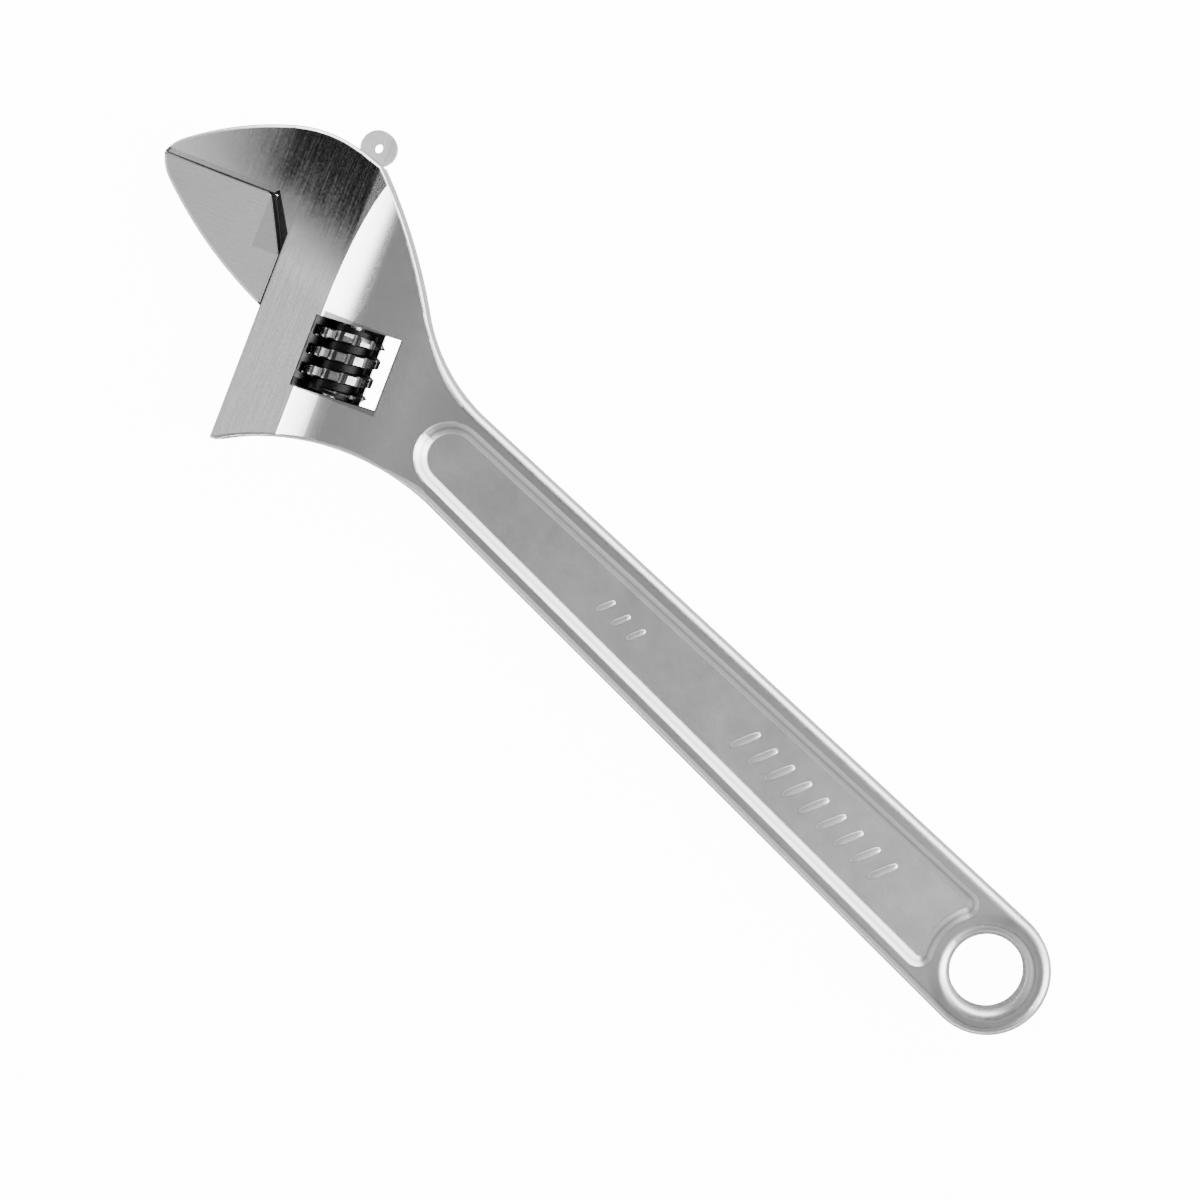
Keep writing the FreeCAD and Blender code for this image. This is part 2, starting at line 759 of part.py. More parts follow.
def jaw_plate(doc):
    """The jaw itself: a curved wedge in plan that thins towards its tip."""
    plan = in_head_frame(new_body(doc, "jaw_plan"))
    sketch = new_sketch(plan, "jaw_outline", "XY_Plane")
    throat = FreeCAD.Vector(number("jaw_inner_p") + number("throat_step"), number("jaw_face_q"), 0)
    outline(
        sketch,
        [
            ("jaw_foot_p", "jaw_heel_q", None),
            ("jaw_inner_p", "jaw_inner_q", None),
            (throat, None),
            ("tip_p", "jaw_face_q", "jaw_tip_round"),
            ("jaw_cheek_p", "jaw_cheek_q", "jaw_curve_radius"),
            ("jaw_foot_p", "jaw_toe_q", None),
        ],
    )
    pad(plan, sketch, "jaw_pad", "jaw_root_half")
    side = in_head_frame(new_body(doc, "jaw_side"))
    profile = new_sketch(side, "jaw_side_outline", "XZ_Plane")
    outline(
        profile,
        [
            ("band_low", "-jaw_root_half", None),
            ("jaw_foot_p", "-jaw_root_half", None),
            ("jaw_end_p", "-jaw_end_half", None),
            ("jaw_end_p", "jaw_end_half", None),
            ("jaw_foot_p", "jaw_root_half", None),
            ("band_low", "jaw_root_half", None),
        ],
    )
    pad(side, profile, "jaw_side_pad", "side_reach")
    wedge = several(doc, "MultiCommon", "jaw_wedge", [plan, side])
    doc.recompute()
    result = doc.addObject("Part::Fillet", "jaw_rounded")
    result.Base = wedge
    edges = wedge.Shape.Edges
    radii = []
    for index in wall_edges(wedge.Shape):
        radius = number("seam_round" if is_sliding_seam(edges[index - 1]) else "jaw_round")
        radii.append((index, radius, radius))
    result.Edges = radii
    return result


def movable_jaw(doc):
    """Jaw, neck through the slot and rack bar, one piece."""
    neck = head_box(
        doc,
        "jaw_neck",
        (number("channel_p"), number("jaw_foot_p") + number("neck_sunk")),
        (number("neck_from_q"), number("neck_from_q") + number("neck_length")),
        number("neck_half"),
    )
    return several(doc, "MultiFuse", "movable_jaw", [jaw_plate(doc), neck, rack(doc)])


def worm_place(along):
    """Placement on the worm's axis: local Z runs along q and local X points at the rack."""
    tilt = math.radians(number("jaw_tilt"))
    towards_rack = FreeCAD.Vector(math.cos(tilt), math.sin(tilt), 0)
    slide = FreeCAD.Vector(-math.sin(tilt), math.cos(tilt), 0)
    turn = FreeCAD.Rotation(towards_rack, slide.cross(towards_rack), slide, "ZXY")
    return FreeCAD.Placement(from_head(number("worm_p"), along), turn)


def on_worm_axis(doc, name, radius, from_q, length):
    """A cylinder on the worm's axis; its radius is a cell."""
    solid = doc.addObject("Part::Cylinder", name)
    solid.Radius = number(radius)
    solid.setExpression("Radius", cell(radius))
    solid.Height = length
    solid.Placement = worm_place(from_q)
    return solid


def coiled(doc, name, draw, pitch, height, from_q):
    """A body on the worm's axis: a section carried along a right-handed helix."""
    body = new_body(doc, name)
    body.Placement = worm_place(from_q)
    sketch = new_sketch(body, name + "_section", "XZ_Plane")
    draw(sketch)
    turns = body.newObject("PartDesign::AdditiveHelix", name + "_helix")
    turns.Profile = sketch
    turns.ReferenceAxis = (sketch, ["V_Axis"])
    turns.Mode = 0
    turns.Pitch = pitch
    turns.Height = height
    sketch.Visibility = False
    return body


def draw_thread(sketch):
    """Thread section: a blunt wedge from just inside the core to beyond the crest."""
    outline(
        sketch,
        [
            ("thread_inside", "-thread_foot_half", None),
            ("thread_outside", "-thread_crest_half", None),
            ("thread_outside", "thread_crest_half", None),
            ("thread_inside", "thread_foot_half", None),
        ],
    )


def draw_wire(sketch):
    """Round section of the spring's wire."""
    centre = FreeCAD.Vector(number("spring_mean_radius"), 0, 0)
    edge = sketch.addGeometry(Part.Circle(centre, Z_AXIS, number("spring_wire")), False)
    held = sketch.addConstraint(Sketcher.Constraint("Radius", edge, number("spring_wire")))
    sketch.setExpression("Constraints[%d]" % held, cell("spring_wire"))


def adjusting_worm(doc):
    """Knurled worm: helical thread on a core, fluted crests, bore and spring pocket.

    The thread starts whole turns away from the middle of the worm, so that there it
    points at the rack, and it runs past both ends before it is trimmed.  The core
    stands out at both ends as a collar.
    """
    start = number("worm_from_q")
    length = number("worm_length")
    pitch = number("worm_pitch")
    run = number("worm_turns_each_way") * pitch
    thread = coiled(doc, "worm_thread", draw_thread, pitch, 2 * run, start + length / 2 - run)
    grooves = several(doc, "MultiFuse", "worm_flutes", flutes(doc, start, length))
    grips = boolean(doc, "Cut", "worm_grips", worm_envelope(doc, start, length), grooves)
    trimmed = several(doc, "MultiCommon", "worm_trimmed", [thread, grips])
    far_end = start - number("worm_far_collar")
    near_end = start + length + number("worm_near_collar")
    core = on_worm_axis(doc, "worm_core", "worm_root", far_end, near_end - far_end)
    solid = several(doc, "MultiFuse", "worm_solid", [core, trimmed])
    pocket_length = pitch + number("spring_pocket_depth")
    tools = [
        on_worm_axis(doc, "worm_bore", "worm_bore", start - pitch, length + 2 * pitch),
        on_worm_axis(doc, "spring_pocket", "spring_pocket_radius", start - pitch, pocket_length),
    ]
    hollows = several(doc, "MultiFuse", "worm_hollows", tools)
    return boolean(doc, "Cut", "adjusting_worm", solid, hollows)


def worm_envelope(doc, start, length):
    """The worm's outer cylinder with bevelled ends."""
    envelope = on_worm_axis(doc, "worm_envelope", "worm_radius", start, length)
    doc.recompute()
    result = doc.addObject("Part::Chamfer", "worm_envelope_bevelled")
    result.Base = envelope
    bevel = number("worm_end_bevel")
    result.Edges = [
        (index, bevel, bevel)
        for index, edge in enumerate(envelope.Shape.Edges, start=1)
        if isinstance(edge.Curve, Part.Circle)
    ]
    return result


def flutes(doc, start, length):
    """Round grooves along the worm that break its crests into finger grips."""
    count = int(number("worm_flutes"))
    grooves = []
    for index in range(count):
        groove = doc.addObject("Part::Cylinder", "flute_%d" % index)
        groove.Radius = number("worm_flute_radius")
        groove.setExpression("Radius", cell("worm_flute_radius"))
        groove.Height = length
        turn = FreeCAD.Rotation(Z_AXIS, 360.0 * (index + 0.5) / count)
        offset = turn.multVec(FreeCAD.Vector(number("worm_flute_centre"), 0, 0))
        groove.Placement = worm_place(start).multiply(FreeCAD.Placement(offset, FreeCAD.Rotation()))
        grooves.append(groove)
    return grooves


def worm_spring(doc):
    """Coil spring round the pin, in the worm's pocket."""
    length = number("spring_length")
    pitch = length / number("spring_turns")
    return coiled(doc, "worm_spring", draw_wire, pitch, length, number("spring_from_q"))


def worm_pin(doc):
    """Plain pin through the worm, with a screwdriver slot in its outer end."""
    tail = number("pin_end_q")
    length = number("pin_head_q") - tail
    shaft = on_worm_axis(doc, "pin_shaft", "pin_radius", tail, length)
    half = number("pin_slot_half")
    depth = number("pin_slot_depth")
    reach = number("worm_root")
    slot_p = (number("worm_p") - reach, number("worm_p") + reach)
    slot_q = (number("pin_head_q") - depth, number("pin_head_q") + depth)
    slot = head_box(doc, "pin_slot", slot_p, slot_q, half)
    return boolean(doc, "Cut", "worm_pin", shaft, slot)


def check(doc, pieces):
    """Stops when an object failed or a piece has no valid solid."""
    failed = [o.Name for o in doc.Objects if {"Invalid", "Error"} & set(o.State)]
    if failed:
        raise RuntimeError("failed objects: %s" % failed)
    for name, piece in pieces.items():
        shape = piece.Shape
        if shape.isNull() or not shape.isValid() or not shape.Solids:
            raise RuntimeError("%s has no valid solid" % name)
        box = shape.BoundBox
        size = "%6.1f x %5.1f x %5.1f mm" % (box.XLength, box.YLength, box.ZLength)
        print("%-16s %d solid, %9.1f mm3, %s" % (name, len(shape.Solids), shape.Volume, size))


def main():
    doc = FreeCAD.newDocument("adjustable_wrench")
    make_sheet(doc)
    pieces = {
        "wrench_body": wrench_body(doc),
        "movable_jaw": movable_jaw(doc),
        "adjusting_worm": adjusting_worm(doc),
        "worm_spring": worm_spring(doc),
        "worm_pin": worm_pin(doc),
    }
    for name, piece in pieces.items():
        piece.Label = name
    doc.recompute()
    check(doc, pieces)
    os.makedirs("parts", exist_ok=True)
    for name, piece in pieces.items():
        piece.Shape.exportStep("parts/%s.step" % name)


if __name__ == "__main__":
    main()
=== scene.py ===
# %% [markdown]
# # Adjustable wrench
#
# The frame brings in the five steel pieces of the wrench: the forging with its fixed
# jaw, the sliding jaw, the worm, its pin and its spring.  Their shapes are right, so
# this lesson is about metal: how plated, polished and machined steel differ, and how
# light has to be arranged before metal looks like anything at all.

# %% Load the frame
import json
import math

import bpy
import numpy as np
from mathutils import Matrix, Vector


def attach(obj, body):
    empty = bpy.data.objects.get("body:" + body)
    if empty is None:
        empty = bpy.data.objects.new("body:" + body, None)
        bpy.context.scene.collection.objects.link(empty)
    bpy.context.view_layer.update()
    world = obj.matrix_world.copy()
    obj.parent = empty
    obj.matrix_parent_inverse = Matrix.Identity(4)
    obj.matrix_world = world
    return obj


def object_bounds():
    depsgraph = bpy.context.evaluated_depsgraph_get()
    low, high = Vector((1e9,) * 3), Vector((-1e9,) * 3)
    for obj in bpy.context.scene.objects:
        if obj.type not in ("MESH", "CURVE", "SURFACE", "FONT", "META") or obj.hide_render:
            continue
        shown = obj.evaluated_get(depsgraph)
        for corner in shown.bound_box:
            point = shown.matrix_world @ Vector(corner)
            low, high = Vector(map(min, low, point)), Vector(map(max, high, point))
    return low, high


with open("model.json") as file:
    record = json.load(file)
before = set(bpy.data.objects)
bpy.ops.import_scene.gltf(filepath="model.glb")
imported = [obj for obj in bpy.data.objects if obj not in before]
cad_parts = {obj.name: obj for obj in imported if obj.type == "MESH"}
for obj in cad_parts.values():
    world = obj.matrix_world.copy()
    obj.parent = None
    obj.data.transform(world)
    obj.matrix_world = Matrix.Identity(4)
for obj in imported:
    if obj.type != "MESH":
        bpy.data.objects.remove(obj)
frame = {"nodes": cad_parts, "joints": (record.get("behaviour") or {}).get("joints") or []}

cad_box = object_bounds()
nodes = frame["nodes"]
print("CAD box in mm", [[round(1000 * c, 1) for c in corner] for corner in cad_box])


# %% [markdown]
# ## Shader maths written as expressions
#
# A finish is mostly arithmetic: masks that are 1 on one part of the wrench and 0
# elsewhere, and noise that is scaled and added.  Wiring Math nodes one by one hides
# that arithmetic, so a socket is wrapped in a small class whose operators add the
# nodes.  Everything that isn't arithmetic goes through one method, node().


# %% A socket that does arithmetic
class Wire:
    """One output socket of a node tree; +, -, * and / add Math nodes."""

    def __init__(self, tree, socket):
        self.tree = tree
        self.socket = socket

    def maths(self, operation, *others):
        node = self.tree.nodes.new("ShaderNodeMath")
        node.operation = operation
        for slot, value in zip(node.inputs, (self, *others)):
            plug(self.tree, slot, value)
        return Wire(self.tree, node.outputs[0])

    def __add__(self, other):
        return self.maths("ADD", other)

    def __mul__(self, other):
        return self.maths("MULTIPLY", other)

    def __sub__(self, other):
        return self.maths("SUBTRACT", other)

    def __truediv__(self, other):
        return self.maths("DIVIDE", other)

    def __neg__(self):
        return self * -1.0

    def __rsub__(self, other):
        return -self + other

    def __rtruediv__(self, other):
        return self.maths("POWER", -1.0) * other

    __radd__ = __add__
    __rmul__ = __mul__

    def clamp(self):
        """The value kept between 0 and 1."""
        return self.maths("MAXIMUM", 0.0).maths("MINIMUM", 1.0)

    def above(self, edge, soft):
        """0 below edge, 1 above it, with a soft step of this width."""
        return ((self - edge) / soft + 0.5).clamp()


def plug(tree, slot, value):
    """Puts a number, a colour or a Wire into an input socket."""
    if isinstance(value, Wire):
        tree.links.new(value.socket, slot)
    elif hasattr(slot.default_value, "__len__") and not hasattr(value, "__len__"):
        slot.default_value = [value] * len(slot.default_value)
    elif hasattr(value, "__len__") and len(slot.default_value) == 4 and len(value) == 3:
        slot.default_value = (*value, 1.0)
    else:
        slot.default_value = value


class Finish:
    """A material being built: its tree, its shader and the places on the piece."""

    def __init__(self, name, **shader):
        self.material = bpy.data.materials.new(name)
        self.material.use_nodes = True
        self.tree = self.material.node_tree
        self.shader = self.tree.nodes["Principled BSDF"]
        self.set(**shader)
        self.place = self.node("ShaderNodeTexCoord", output="Object")

    def set(self, **values):
        """Sets or links the shader's sockets; Base_Color stands for Base Color."""
        for name, value in values.items():
            plug(self.tree, self.shader.inputs[name.replace("_", " ")], value)

    def node(self, kind, settings=(), inputs=(), output=0):
        """Adds any node: its settings first, then its sockets, and gives one output."""
        node = self.tree.nodes.new(kind)
        for name, value in dict(settings).items():
            setattr(node, name, value)
        for name, value in dict(inputs).items():
            plug(self.tree, node.inputs[name], value)
        return Wire(self.tree, node.outputs[output])

    def axes(self, vector):
        """The three numbers of a vector."""
        split = self.node("ShaderNodeSeparateXYZ", inputs={0: vector}).socket.node
        return [Wire(self.tree, out) for out in split.outputs]

    def blend(self, amount, low, high):
        """Colour low where amount is 0 and high where it is 1."""
        mix = self.node("ShaderNodeMix", {"data_type": "RGBA"}, output=2).socket.node
        for index, value in ((0, amount), (6, low), (7, high)):
            plug(self.tree, mix.inputs[index], value)
        return Wire(self.tree, mix.outputs[2])


# %% [markdown]
# ## Where things are on the wrench
#
# Every finish needs to know what it is painting: the panel's floor, the ground faces of
# the head, the inside of the window.  The pieces could carry painted masks, but a CAD
# mesh must stay as it is, so places are worked out from Object coordinates, in
# millimetres.  The head is turned against the handle, so it gets its own pair of axes,
# p from the throat to the tips and q along the jaw's slide.

# %% Places in the head's own axes
slide = next(joint for joint in frame["joints"] if joint["name"] == "jaw_slide")
SLIDE_X, SLIDE_Y = slide["axis"][0], slide["axis"][1]
MM = 1000.0


def places(finish):
    """x, y, z, p and q in millimetres as wires of this finish."""
    x, y, z = (axis * MM for axis in finish.axes(finish.place))
    p = x * SLIDE_Y - y * SLIDE_X
    q = x * SLIDE_X + y * SLIDE_Y
    return x, y, z, p, q


def stretched(finish, along, across, depth, fineness):
    """Noise with long cells along one direction: streaks left by a belt or a wheel."""
    scaled = {0: along * fineness[0], 1: across * fineness[1], 2: depth}
    vector = finish.node("ShaderNodeCombineXYZ", inputs=scaled)
    return finish.node("ShaderNodeTexNoise", inputs={"Vector": vector, "Scale": 1.0, "Detail": 3.0})


def speckle(finish, size, detail=2.0):
    """Round noise whose cells are this many millimetres wide."""
    sockets = {"Vector": finish.place, "Scale": MM / size, "Detail": detail}
    return finish.node("ShaderNodeTexNoise", inputs=sockets)


def relief(finish, height, deep):
    """A bump from a height between 0 and 1 that stands this many metres deep."""
    sockets = {"Height": height, "Strength": 1.0, "Distance": deep}
    return finish.node("ShaderNodeBump", inputs=sockets)


def upward(finish):
    """1 where a surface faces straight up or down, 0 where it stands upright."""
    return finish.axes(finish.node("ShaderNodeNewGeometry", output="Normal"))[2].maths("ABSOLUTE")


def between(value, low, high, soft):
    """1 between two edges, with soft steps."""
    return value.above(low, soft) * (1.0 - value.above(high, soft))


print("slide axis", round(SLIDE_X, 3), round(SLIDE_Y, 3))

# %% [markdown]
# ## Camera and floor
#
# The wrench lies flat and is seen from above, turned so that the handle runs to the
# lower right.  A long lens keeps both ends at one scale.  The floor is a pale sheet that
# is lit from inside, like a light table.  Polished edges would mirror so much light and
# lose their outline, so the sheet is bright only where it is seen directly, as behind a
# product that is cut out, and plain grey where steel mirrors it.  Under the worm the sheet
# is painted black: a painted shadow where no light gets through the head.

# %% Camera
FRAME_WIDTH = 0.2995
LENS = 120.0
SENSOR = 36.0
AIM = Vector((0.1334, 0.0001, 0.0))
IMAGE_UP = Vector((0.69146, -0.72241, 0.0))
LEAN = math.radians(3.5)


def make_camera():
    """A long lens over the wrench; it leans a little towards the back of the jaw."""
    distance = FRAME_WIDTH * LENS / SENSOR
    back = Vector((0.0, -math.sin(LEAN), math.cos(LEAN)))
    side = IMAGE_UP.cross(back).normalized()
    turn = Matrix((side, back.cross(side), back)).transposed().to_4x4()
    data = bpy.data.cameras.new("camera")
    data.lens = LENS
    data.sensor_width = SENSOR
    data.clip_end = 20.0
    camera = bpy.data.objects.new("camera", data)
    camera.matrix_world = Matrix.Translation(AIM + back * distance) @ turn
    bpy.context.scene.collection.objects.link(camera)
    bpy.context.scene.camera = camera
    print("the camera stands", round(distance, 3), "m above the wrench")


make_camera()

# %% Floor
FLOOR_HALF = 4.0
FLOOR_GAP = 0.0002
SHEET_SEEN = 14.0
SHEET_MIRRORED = 0.2
SHEET_GREY = (0.3, 0.3, 0.3)
SHADOW_BLACK = (0.01, 0.01, 0.01)
# Where the floor gets its painted shadow under the worm.
SHADOW_UNDER_WORM = (197.7, 216.0), (-94.0, -72.5)


def make_floor():
    """A square of four corners just under the lowest point of the wrench."""
    level = cad_box[0].z - FLOOR_GAP
    signs = ((-1, -1), (1, -1), (1, 1), (-1, 1))
    corners = [(along * FLOOR_HALF, across * FLOOR_HALF, level) for along, across in signs]
    mesh = bpy.data.meshes.new("floor")
    mesh.from_pydata(corners, [], [(0, 1, 2, 3)])
    floor = bpy.data.objects.new("floor", mesh)
    bpy.context.scene.collection.objects.link(floor)
    sheet = Finish("light_table", Roughness=0.9)
    p, q = places(sheet)[3:]
    # Painted shadow: the sheet is black under the worm, where no light gets through the head.
    unshadowed = 1.0 - between(p, *SHADOW_UNDER_WORM[0], 0.5) * between(q, *SHADOW_UNDER_WORM[1], 0.5)
    direct = sheet.node("ShaderNodeLightPath", output="Is Camera Ray")
    seen = sheet.blend(direct, (SHEET_MIRRORED,) * 3, (SHEET_SEEN,) * 3)
    seen = sheet.blend(unshadowed, (0.0, 0.0, 0.0), seen)
    sheet.set(Base_Color=sheet.blend(unshadowed, SHADOW_BLACK, SHEET_GREY))
    sheet.set(Emission_Color=seen, Emission_Strength=1.0)
    mesh.materials.append(sheet.material)
    print("the floor lies", round(-MM * level, 2), "mm below the middle plane")


make_floor()

# %% [markdown]
# ## Light
#
# Bare metal has no colour of its own to show: it is a picture of the room.  Lamps would
# leave it black with a few glints, so the sky itself is the light, and its brightness is
# written as a function of direction.  Overhead is grey, with a soft bright card for the
# ground faces of the head.  Low on the side of the jaw's back is a long white box, which
# draws the bright lines along slopes and rims, and a second one faces the scooped flanks
# of the head.  From overhead down to the long box hangs a black cloth: the domed jaw
# bends its view into it, and that gives the face its dark sweep.  A dim wall on the far
# side, a shade on the side of the tips and a glow along the horizon fill the rest.

# %% Sky
GREY = 0.55
CARD = 1.5
CARD_AT = (0.13, 0.08)
WHITE_BOX = 8.0
FLANK_BOX = 14.0
GLOW = 7.0
FAR_WALL = 0.9
CLOTH_DARK = 0.985
SHADE_DARK = 0.65
FOLD_DARK = 0.45
BOX_AZIMUTH = math.radians(-95.0)
FLANK_AZIMUTH = math.radians(-157.5)
SHADE_AZIMUTH = math.radians(165.0)
FAR_AZIMUTH = math.radians(90.0)


def make_sky():
    """Brightness from tilt (0 overhead, 1 at the horizon) and from azimuth."""
    world = bpy.data.worlds.new("studio")
    bpy.context.scene.world = world
    world.use_nodes = True
    tree = world.node_tree
    split = tree.nodes.new("ShaderNodeSeparateXYZ")
    direction = tree.nodes.new("ShaderNodeTexCoord")
    tree.links.new(direction.outputs["Generated"], split.inputs[0])
    x, y, z = (Wire(tree, out) for out in split.outputs)
    tilt = z.maths("ARCCOSINE") * (2.0 / math.pi)
    flat = (x * x + y * y + 1e-6).maths("SQRT")

    def facing(azimuth):
        """1 towards this azimuth, 0 square to it."""
        return (x * math.cos(azimuth) + y * math.sin(azimuth)) / flat

    off_x, off_y = x - CARD_AT[0], y - CARD_AT[1]
    card = 1.0 - (off_x * off_x + off_y * off_y).maths("SQRT").above(0.12, 0.1)
    cloth = (-y).above(0.018, 0.12) * (1.0 - tilt.above(0.42, 0.1))
    far = facing(FAR_AZIMUTH).above(0.4, 0.3) * tilt.above(0.35, 0.15)
    far = far * (1.0 - tilt.above(0.68, 0.08))
    shade = tilt.above(0.3, 0.3) * facing(SHADE_AZIMUTH).above(0.5, 0.5)
    box = tilt.above(0.5, 0.12) * facing(BOX_AZIMUTH).above(0.45, 0.25)
    fold = 1.0 - between(tilt, 0.67, 0.75, 0.03) * FOLD_DARK
    flank = facing(FLANK_AZIMUTH).above(0.955, 0.04) * tilt.above(0.2, 0.14)
    flank = flank * (1.0 - tilt.above(0.85, 0.1))
    glow = tilt.above(0.94, 0.08)
    light = GREY + card * (CARD - GREY) + far * FAR_WALL
    light = light * (1.0 - cloth * CLOTH_DARK) * (1.0 - shade * SHADE_DARK)
    light = light * (1.0 - box) + box * fold * WHITE_BOX
    light = light * (1.0 - flank) + flank * FLANK_BOX
    light = light * (1.0 - glow) + glow * GLOW
    background = tree.nodes["Background"]
    background.inputs[0].default_value = (1.0, 1.0, 1.0, 1.0)
    tree.links.new(light.socket, background.inputs[1])
    print("the sky has", len(tree.nodes), "nodes")


make_sky()

# %% [markdown]
# ## The forging
#
# A drop forging comes out of the die with a skin like fine orange peel.  The head is then
# ground and polished, the web and the handle are left duller, and the whole is plated,
# which follows every dent.
#
# Not all of that comes out of the reflections by itself.  Flat faces that weren't ground
# are painted darker, partly for their duller skin and partly as painted shade, which grows
# towards the head; the border round the hanging hole and a line along the middle of the
# panel's walls get painted shade as well.  The tops of the raised bars get a painted
# highlight, and the lug a brighter painted highlight.  Painted shade also darkens the walls
# of the window, a thin line round its mouth, the seam of the jaws and the relief at the
# throat.  The fixed jaw's tip is made a little less metallic, so that it stays light.  Each
# of these is a mask that is 1 on its own part of the forging, made from the edges of that
# part in millimetres.

# %% Where the polish is
PANEL_FLOOR = 3.45
PANEL_SIDE = 11.2
BAND_FOOT = 212.9
DOME_START = -5.0
HEAD_FROM = 205.0
WEB_TO = 224.0
HANDLE_TO = 197.0
LEVEL_ENOUGH = 0.983
LEVEL_ON_DOME = 0.997
LUG_EDGE = -38.9
LUG_FROM = 245.0
LUG_TOP = 3.0


class Zones:
    """Masks of the forging's large faces: band, dome, handle, panel, level faces and lug."""

    def __init__(self, finish):
        self.x, self.y, self.z, self.p, self.q = places(finish)
        self.height = self.z.maths("ABSOLUTE")
        self.side = self.y.maths("ABSOLUTE")
        self.upright = upward(finish)
        self.band = self.p.above(BAND_FOOT - 0.4, 0.8)
        beside = 1.0 - self.y.above(DOME_START - 1.0, 4.0)
        self.dome_side = beside * self.x.above(HEAD_FROM, 6.0)
        self.handle = 1.0 - self.x.above(HANDLE_TO, 6.0)
        low = (1.0 - self.height.above(PANEL_FLOOR + 0.55, 0.2)) * self.height.above(2.6, 0.4)
        self.panel = self.handle * low * (1.0 - self.side.above(PANEL_SIDE, 0.4))
        past_web = self.dome_side * self.x.above(WEB_TO, 4.0)
        edge = LEVEL_ENOUGH + past_web * (LEVEL_ON_DOME - LEVEL_ENOUGH)
        self.level = self.upright.above(edge, 0.002)
        dome = self.band * self.dome_side
        self.polished = (dome + (1.0 - self.level) * self.dome_side).clamp()
        low_lug = (1.0 - self.y.above(LUG_EDGE, 0.6)) * (1.0 - self.height.above(LUG_TOP, 0.3))
        self.lug = low_lug * self.x.above(LUG_FROM, 2.0)


# %% Where the painted shade is
WINDOW_P = (192.4, 214.1)
WINDOW_Q = (-93.0, -73.6)
SEAM_P = 227.5
SEAM_Q = (-117.3, -88.0)
RELIEF_P = (227.6, 236.4)
RELIEF_Q = (-117.3, -101.5)
RELIEF_TOP = 7.2


def window_shade(zones, peel):
    """Painted shade on the window's walls, then a thin painted shadow line round its mouth."""
    p, q = zones.p, zones.q
    walls = between(p, WINDOW_P[0] - 0.2, WINDOW_P[1] + 3.0, 0.4)
    walls = walls * between(q, WINDOW_Q[0] - 0.6, WINDOW_Q[1] + 0.6, 0.5)
    walls = walls * (1.0 - zones.height.above(6.0, 0.8))
    line = between(p, WINDOW_P[0] - 0.5, WINDOW_P[1] - 1.5, 0.3)
    line = line * between(q, WINDOW_Q[0] - 0.45, WINDOW_Q[1] + 0.45, 0.3)
    line = line * (1.0 - walls) * (1.0 - zones.band)
    return walls, walls * (0.75 + peel * 0.3), line * 0.7


def seam_shade(zones):
    """Painted shade on the rounded edges where the jaws meet and on the walls of the throat's
    relief.
    """
    seam = between(zones.upright, 0.1, 0.985, 0.05) * zones.p.above(SEAM_P, 0.2)
    seam = seam * between(zones.q, *SEAM_Q, 0.3)
    relieved = between(zones.p, *RELIEF_P, 0.3) * between(zones.q, *RELIEF_Q, 0.3)
    relieved = relieved * (1.0 - zones.height.above(RELIEF_TOP, 0.6))
    return (seam * 0.9 + relieved * 0.75).clamp()


# %% Brightness of the plate
# Painted shade: the ring round the hanging hole and the heights of the crease on the panel's walls.
EYE_RING = (12.4, 14.6)
CREASE = (4.15, 4.6)


def plate_shade(zones, peel, cloud):
    """Blend from black to the plate's colour: darker flats (skin and painted shade), painted shade
    in the panel crease and on the hole border, lighter bar tops as a painted highlight.
    """
    height, side, x = zones.height, zones.side, zones.x
    # Painted highlight: the tops of the raised bars are made lighter.
    raised = between(height, PANEL_FLOOR + 0.15, PANEL_FLOOR + 0.5, 0.1)
    raised = raised * (1.0 - side.above(6.5, 1.0))
    # Flat faces are painted darker, partly for their duller skin and partly as painted shade that
    # grows towards the head.
    dull_and_shade = 0.4 + x.above(60.0, 200.0) * 0.14 - zones.panel * 0.05 - raised * 0.16
    dull_and_shade = dull_and_shade * zones.level * (1.0 - zones.band) * (1.0 - zones.lug)
    # Painted shade: a darker line at mid-height on the panel's walls.
    crease = between(height, *CREASE, 0.25) * zones.handle * (1.0 - side.above(11.6, 0.4))
    # Painted shade on the border round the hanging hole.
    from_hole = (x * x + zones.y * zones.y).maths("SQRT")
    eye = (1.0 - x.above(9.0, 8.0)) * (0.12 + between(from_hole, *EYE_RING, 1.0) * 0.25)
    shade = 0.955 + cloud * 0.09 + (peel - 0.5) * (0.1 + zones.panel * 0.2)
    shade = shade * (1.0 - dull_and_shade) * (1.0 + zones.band * 0.06) * (1.0 - crease * 0.35)
    shade = shade * (1.0 - eye * height.above(4.6, 0.3))
    return (shade * (1.0 + (cloud - 0.5) * zones.panel * 0.3)).clamp()


# %% Plated forging
PLATE = (0.66, 0.665, 0.66)
# Near-white colour of the lug: a painted highlight.
LUG_HIGHLIGHT = (0.93, 0.93, 0.93)
BLACK = (0.0, 0.0, 0.0)
# Near-black colour of the painted shade in the window, along the seam and at the throat.
PAINTED_SHADE_BLACK = (0.02, 0.02, 0.02)
PEEL_DEEP = 0.00007


